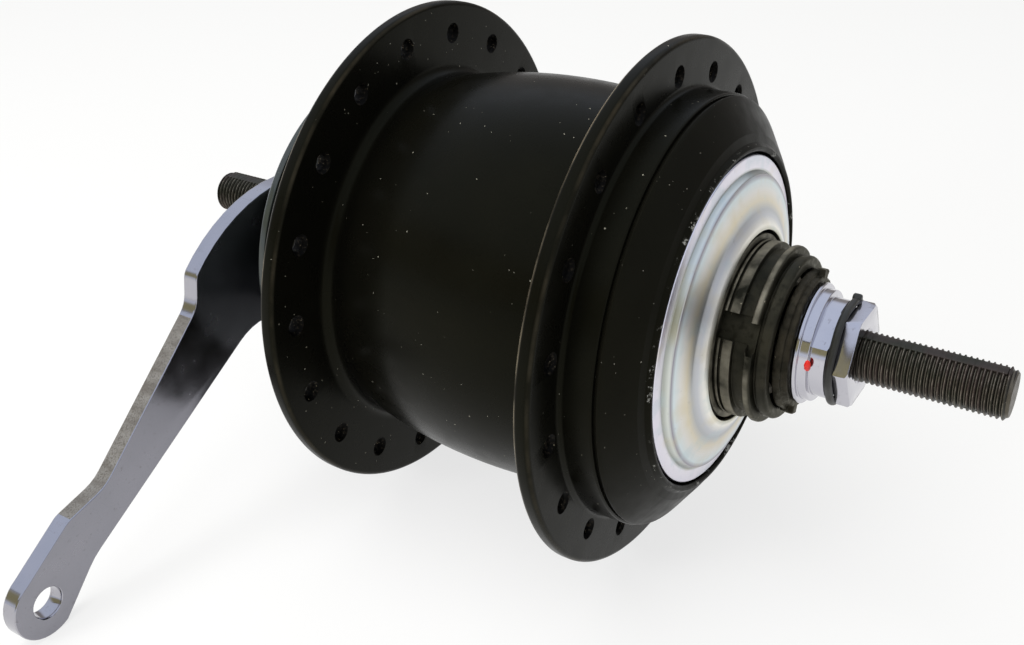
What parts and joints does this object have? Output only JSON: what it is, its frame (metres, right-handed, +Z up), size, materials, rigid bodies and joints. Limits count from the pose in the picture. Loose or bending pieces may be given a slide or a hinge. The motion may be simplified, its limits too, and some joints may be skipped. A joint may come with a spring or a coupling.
{
  "type": "internal gear hub",
  "caption": "Internal gear hub with coaster brake arm: black two-flange shell, silver dust shield, ribbed driver for a sprocket, threaded axle with lock nuts.",
  "frame": {"origin": "on the axle, midway between the outer faces of the two lock nuts", "axes": "+Y along the axle towards the brake arm, drive side at -Y, +Z up; the flanges and the arm's tip rest on one level surface"},
  "size_m": [0.1521, 0.184, 0.1058],
  "materials": {
    "black_shell": "satin black paint on cast and turned aluminium",
    "black_cap": "moulded, low sheen",
    "zinc_plate": "pressed steel with clear zinc plating",
    "chromed_steel": "bright chrome",
    "oiled_steel": "hardened, dark and oily",
    "oxide_steel": "rolled thread with dark oxide",
    "hardened_steel": "hardened and ground",
    "bearing_steel": "polished",
    "cage_steel": "pressed strip",
    "shoe_bronze": "sintered bronze",
    "grey_pressed_steel": "pressed steel, dark grey",
    "black_rubber": "moulded ring"
  },
  "bodies": {
    "axle_unit": {"axle": "oxide_steel", "brake_arm": "chromed_steel", "brake_cone": "hardened_steel", "left_lock_nut": "chromed_steel", "right_lock_nut": "chromed_steel", "right_cone": "chromed_steel", "cone_o_ring": "black_rubber", "left_dust_cap": "grey_pressed_steel", "large_sun_gear": "hardened_steel", "sun_spacer": "hardened_steel"},
    "shell": {"hub_shell": "black_shell", "brake_drum_sleeve": "hardened_steel", "left_bearing_cup": "hardened_steel", "right_ball_ring": "hardened_steel", "right_dust_cap": "black_cap", "dust_shield": "zinc_plate"},
    "driver_unit": {"driver": "oiled_steel", "planet_carrier": "hardened_steel", "planet_pins": "hardened_steel"},
    "ring_unit": {"ring_gear": "hardened_steel", "clutch_rollers": "bearing_steel", "clutch_cage": "cage_steel"},
    "planet_1": {"planet_gear_1": "hardened_steel"},
    "planet_2": {"planet_gear_2": "hardened_steel"},
    "planet_3": {"planet_gear_3": "hardened_steel"},
    "small_sun": {"small_sun_gear": "hardened_steel"},
    "left_bearing": {"left_bearing_balls": "bearing_steel", "left_ball_cage": "cage_steel"},
    "right_bearing": {"right_bearing_balls": "bearing_steel", "right_ball_cage": "cage_steel"},
    "driver_bearing": {"driver_bearing_balls": "bearing_steel", "driver_ball_cage": "cage_steel"},
    "cam_body": {"brake_cam": "hardened_steel"},
    "shoe_1": {"brake_shoe_1": "shoe_bronze"},
    "shoe_2": {"brake_shoe_2": "shoe_bronze"},
    "shoe_3": {"brake_shoe_3": "shoe_bronze"},
    "shift_body": {"shift_ring": "oiled_steel"}
  },
  "joints": [
    {"name": "shell_spin", "type": "hinge", "parent": "axle_unit", "child": "shell", "pos_m": [0, 0, 0], "axis": [0, 1, 0], "continuous": true},
    {"name": "driver_spin", "type": "hinge", "parent": "axle_unit", "child": "driver_unit", "pos_m": [0, 0, 0], "axis": [0, 1, 0], "continuous": true},
    {"name": "ring_gear_spin", "type": "hinge", "parent": "axle_unit", "child": "ring_unit", "pos_m": [0, 0, 0], "axis": [0, 1, 0], "continuous": true},
    {"name": "planet_1_spin", "type": "hinge", "parent": "driver_unit", "child": "planet_1", "pos_m": [0, 0, 0.0195], "axis": [0, 1, 0], "continuous": true},
    {"name": "planet_2_spin", "type": "hinge", "parent": "driver_unit", "child": "planet_2", "pos_m": [-0.01689, 0, -0.00975], "axis": [0, 1, 0], "continuous": true},
    {"name": "planet_3_spin", "type": "hinge", "parent": "driver_unit", "child": "planet_3", "pos_m": [0.01689, 0, -0.00975], "axis": [0, 1, 0], "continuous": true},
    {"name": "small_sun_spin", "type": "hinge", "parent": "axle_unit", "child": "small_sun", "pos_m": [0, 0, 0], "axis": [0, 1, 0], "continuous": true},
    {"name": "left_bearing_spin", "type": "hinge", "parent": "axle_unit", "child": "left_bearing", "pos_m": [0, 0, 0], "axis": [0, 1, 0], "continuous": true},
    {"name": "driver_bearing_spin", "type": "hinge", "parent": "axle_unit", "child": "driver_bearing", "pos_m": [0, 0, 0], "axis": [0, 1, 0], "continuous": true},
    {"name": "right_bearing_spin", "type": "hinge", "parent": "axle_unit", "child": "right_bearing", "pos_m": [0, 0, 0], "axis": [0, 1, 0], "continuous": true},
    {"name": "brake_cam_turn", "type": "hinge", "parent": "axle_unit", "child": "cam_body", "pos_m": [0, 0, 0], "axis": [0, 1, 0], "range_deg": [-15, 0]},
    {"name": "shoe_1_slide", "type": "slide", "parent": "axle_unit", "child": "shoe_1", "axis": [0, 0, 1], "range_m": [0, 0.0005]},
    {"name": "shoe_2_slide", "type": "slide", "parent": "axle_unit", "child": "shoe_2", "axis": [-0.866, 0, -0.5], "range_m": [0, 0.0005]},
    {"name": "shoe_3_slide", "type": "slide", "parent": "axle_unit", "child": "shoe_3", "axis": [0.866, 0, -0.5], "range_m": [0, 0.0005]},
    {"name": "shift_ring_turn", "type": "hinge", "parent": "axle_unit", "child": "shift_body", "pos_m": [0, 0, 0], "axis": [0, 1, 0], "range_deg": [0, 90]}
  ],
  "couplings": [
    {"joint": "ring_gear_spin", "follows": "driver_spin", "ratio": 1.4444},
    {"joint": "planet_1_spin", "follows": "driver_spin", "ratio": 1.6},
    {"joint": "planet_2_spin", "follows": "driver_spin", "ratio": 1.6},
    {"joint": "planet_3_spin", "follows": "driver_spin", "ratio": 1.6},
    {"joint": "small_sun_spin", "follows": "driver_spin", "ratio": -0.86667},
    {"joint": "left_bearing_spin", "follows": "shell_spin", "ratio": 0.54431},
    {"joint": "driver_bearing_spin", "follows": "shell_spin", "ratio": 0.53898},
    {"joint": "right_bearing_spin", "follows": "driver_spin", "ratio": 0.57654},
    {"joint": "shoe_1_slide", "follows": "brake_cam_turn", "m_per_rad": -0.0019099},
    {"joint": "shoe_2_slide", "follows": "brake_cam_turn", "m_per_rad": -0.0019099},
    {"joint": "shoe_3_slide", "follows": "brake_cam_turn", "m_per_rad": -0.0019099}
  ]
}
